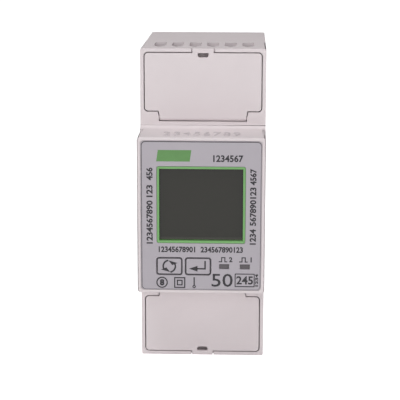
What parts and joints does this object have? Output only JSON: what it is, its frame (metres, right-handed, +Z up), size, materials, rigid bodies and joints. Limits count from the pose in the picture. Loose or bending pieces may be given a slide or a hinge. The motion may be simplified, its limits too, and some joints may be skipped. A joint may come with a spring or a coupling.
{
  "type": "din rail energy meter",
  "caption": "Two-module energy meter for a 35 mm rail, with display, keys, hinged terminal flaps, screw clamps and a sprung rail clip.",
  "frame": {"origin": "centre of the rail seat, where the rail's front face bears", "axes": "+X across the meter, +Y towards the panel, +Z up"},
  "size_m": [0.0356, 0.0646, 0.09],
  "materials": {
    "housing_plastic": "fine spark-eroded grain",
    "block_plastic": "moulded",
    "film": "fine textured polyester",
    "green_plastic": "moulded",
    "lcd": "smooth polariser",
    "white_plastic": "smooth",
    "black_plastic": "moulded",
    "smoked_plastic": "smooth",
    "board": "solder mask",
    "steel": "rolled",
    "zinc_steel": "zinc plated",
    "brass": "stamped",
    "shunt_alloy": "rolled",
    "capacitor_sleeve": "shrink sleeve",
    "capacitor_case": "potted box",
    "varistor_coat": "dipped coat",
    "ferrite": "sintered ferrite and tape"
  },
  "bodies": {
    "housing": {"base_housing": "housing_plastic", "front_housing": "housing_plastic", "front_film": "film", "display_frame": "green_plastic", "lcd_glass": "lcd", "lcd_backlight": "white_plastic", "contact_strip": "black_plastic", "display_board": "board", "display_screws": "steel", "scroll_switch": "steel", "enter_switch": "steel", "pulse_led_1": "smoked_plastic", "pulse_led_2": "smoked_plastic", "clip_spring": "steel", "main_board": "board", "board_header": "black_plastic", "metering_chip": "black_plastic", "processor_chip": "black_plastic", "bulk_capacitor": "capacitor_sleeve", "mains_capacitor": "capacitor_case", "varistor": "varistor_coat", "transformer": "ferrite", "optocouplers": "black_plastic", "current_shunt": "shunt_alloy", "line_bar_in": "brass", "line_bar_out": "brass", "neutral_bar": "brass", "mains_block": "block_plastic", "aux_block": "block_plastic", "aux_contacts": "brass"},
    "upper_flap": {"upper_flap": "housing_plastic"},
    "lower_flap": {"lower_flap": "housing_plastic"},
    "rail_clip": {"rail_clip": "black_plastic"},
    "scroll_key": {"scroll_key": "film", "scroll_plunger": "black_plastic"},
    "enter_key": {"enter_key": "film", "enter_plunger": "black_plastic"},
    "mains_screw_1": {"mains_screw_1": "zinc_steel"},
    "mains_cage_1": {"mains_cage_1": "zinc_steel"},
    "mains_screw_2": {"mains_screw_2": "zinc_steel"},
    "mains_cage_2": {"mains_cage_2": "zinc_steel"},
    "mains_screw_3": {"mains_screw_3": "zinc_steel"},
    "mains_cage_3": {"mains_cage_3": "zinc_steel"},
    "mains_screw_4": {"mains_screw_4": "zinc_steel"},
    "mains_cage_4": {"mains_cage_4": "zinc_steel"},
    "aux_screw_1": {"aux_screw_1": "zinc_steel"},
    "aux_cage_1": {"aux_cage_1": "zinc_steel"},
    "aux_screw_2": {"aux_screw_2": "zinc_steel"},
    "aux_cage_2": {"aux_cage_2": "zinc_steel"},
    "aux_screw_3": {"aux_screw_3": "zinc_steel"},
    "aux_cage_3": {"aux_cage_3": "zinc_steel"},
    "aux_screw_4": {"aux_screw_4": "zinc_steel"},
    "aux_cage_4": {"aux_cage_4": "zinc_steel"},
    "aux_screw_5": {"aux_screw_5": "zinc_steel"},
    "aux_cage_5": {"aux_cage_5": "zinc_steel"},
    "aux_screw_6": {"aux_screw_6": "zinc_steel"},
    "aux_cage_6": {"aux_cage_6": "zinc_steel"}
  },
  "joints": [
    {"name": "upper_flap_hinge", "type": "hinge", "parent": "housing", "child": "upper_flap", "pos_m": [0, -0.0431, 0.0253], "axis": [1, 0, 0], "range_deg": [0, 95]},
    {"name": "lower_flap_hinge", "type": "hinge", "parent": "housing", "child": "lower_flap", "pos_m": [0, -0.0431, -0.0253], "axis": [-1, 0, 0], "range_deg": [0, 95]},
    {"name": "rail_clip_slide", "type": "slide", "parent": "housing", "child": "rail_clip", "axis": [0, 0, -1], "range_m": [0, 0.0035], "stiffness_N_per_m": 1500, "springref_m": -0.003, "deforming": ["clip_spring"]},
    {"name": "scroll_key_press", "type": "slide", "parent": "housing", "child": "scroll_key", "axis": [0, 1, 0], "range_m": [0, 0.0005], "stiffness_N_per_m": 2500, "springref_m": -0.0003},
    {"name": "enter_key_press", "type": "slide", "parent": "housing", "child": "enter_key", "axis": [0, 1, 0], "range_m": [0, 0.0005], "stiffness_N_per_m": 2500, "springref_m": -0.0003},
    {"name": "mains_screw_1_turn", "type": "hinge", "parent": "housing", "child": "mains_screw_1", "pos_m": [-0.0123, -0.038, -0.0364], "axis": [0, 1, 0], "range_deg": [0, 3380]},
    {"name": "mains_cage_1_lift", "type": "slide", "parent": "housing", "child": "mains_cage_1", "axis": [0, -1, 0], "range_m": [0, 0.0075]},
    {"name": "mains_screw_2_turn", "type": "hinge", "parent": "housing", "child": "mains_screw_2", "pos_m": [-0.0041, -0.038, -0.0364], "axis": [0, 1, 0], "range_deg": [0, 3380]},
    {"name": "mains_cage_2_lift", "type": "slide", "parent": "housing", "child": "mains_cage_2", "axis": [0, -1, 0], "range_m": [0, 0.0075]},
    {"name": "mains_screw_3_turn", "type": "hinge", "parent": "housing", "child": "mains_screw_3", "pos_m": [0.0041, -0.038, -0.0364], "axis": [0, 1, 0], "range_deg": [0, 3380]},
    {"name": "mains_cage_3_lift", "type": "slide", "parent": "housing", "child": "mains_cage_3", "axis": [0, -1, 0], "range_m": [0, 0.0075]},
    {"name": "mains_screw_4_turn", "type": "hinge", "parent": "housing", "child": "mains_screw_4", "pos_m": [0.0123, -0.038, -0.0364], "axis": [0, 1, 0], "range_deg": [0, 3380]},
    {"name": "mains_cage_4_lift", "type": "slide", "parent": "housing", "child": "mains_cage_4", "axis": [0, -1, 0], "range_m": [0, 0.0075]},
    {"name": "aux_screw_1_turn", "type": "hinge", "parent": "housing", "child": "aux_screw_1", "pos_m": [-0.01271, -0.038, 0.0366], "axis": [0, 1, 0], "range_deg": [0, 1850]},
    {"name": "aux_cage_1_lift", "type": "slide", "parent": "housing", "child": "aux_cage_1", "axis": [0, -1, 0], "range_m": [0, 0.0023]},
    {"name": "aux_screw_2_turn", "type": "hinge", "parent": "housing", "child": "aux_screw_2", "pos_m": [-0.00762, -0.038, 0.0366], "axis": [0, 1, 0], "range_deg": [0, 1850]},
    {"name": "aux_cage_2_lift", "type": "slide", "parent": "housing", "child": "aux_cage_2", "axis": [0, -1, 0], "range_m": [0, 0.0023]},
    {"name": "aux_screw_3_turn", "type": "hinge", "parent": "housing", "child": "aux_screw_3", "pos_m": [-0.00254, -0.038, 0.0366], "axis": [0, 1, 0], "range_deg": [0, 1850]},
    {"name": "aux_cage_3_lift", "type": "slide", "parent": "housing", "child": "aux_cage_3", "axis": [0, -1, 0], "range_m": [0, 0.0023]},
    {"name": "aux_screw_4_turn", "type": "hinge", "parent": "housing", "child": "aux_screw_4", "pos_m": [0.00254, -0.038, 0.0366], "axis": [0, 1, 0], "range_deg": [0, 1850]},
    {"name": "aux_cage_4_lift", "type": "slide", "parent": "housing", "child": "aux_cage_4", "axis": [0, -1, 0], "range_m": [0, 0.0023]},
    {"name": "aux_screw_5_turn", "type": "hinge", "parent": "housing", "child": "aux_screw_5", "pos_m": [0.00762, -0.038, 0.0366], "axis": [0, 1, 0], "range_deg": [0, 1850]},
    {"name": "aux_cage_5_lift", "type": "slide", "parent": "housing", "child": "aux_cage_5", "axis": [0, -1, 0], "range_m": [0, 0.0023]},
    {"name": "aux_screw_6_turn", "type": "hinge", "parent": "housing", "child": "aux_screw_6", "pos_m": [0.01271, -0.038, 0.0366], "axis": [0, 1, 0], "range_deg": [0, 1850]},
    {"name": "aux_cage_6_lift", "type": "slide", "parent": "housing", "child": "aux_cage_6", "axis": [0, -1, 0], "range_m": [0, 0.0023]}
  ],
  "couplings": [
    {"joint": "mains_screw_1_turn", "follows": "mains_cage_1_lift", "rad_per_m": 7854},
    {"joint": "mains_screw_2_turn", "follows": "mains_cage_2_lift", "rad_per_m": 7854},
    {"joint": "mains_screw_3_turn", "follows": "mains_cage_3_lift", "rad_per_m": 7854},
    {"joint": "mains_screw_4_turn", "follows": "mains_cage_4_lift", "rad_per_m": 7854},
    {"joint": "aux_screw_1_turn", "follows": "aux_cage_1_lift", "rad_per_m": 13963},
    {"joint": "aux_screw_2_turn", "follows": "aux_cage_2_lift", "rad_per_m": 13963},
    {"joint": "aux_screw_3_turn", "follows": "aux_cage_3_lift", "rad_per_m": 13963},
    {"joint": "aux_screw_4_turn", "follows": "aux_cage_4_lift", "rad_per_m": 13963},
    {"joint": "aux_screw_5_turn", "follows": "aux_cage_5_lift", "rad_per_m": 13963},
    {"joint": "aux_screw_6_turn", "follows": "aux_cage_6_lift", "rad_per_m": 13963}
  ]
}
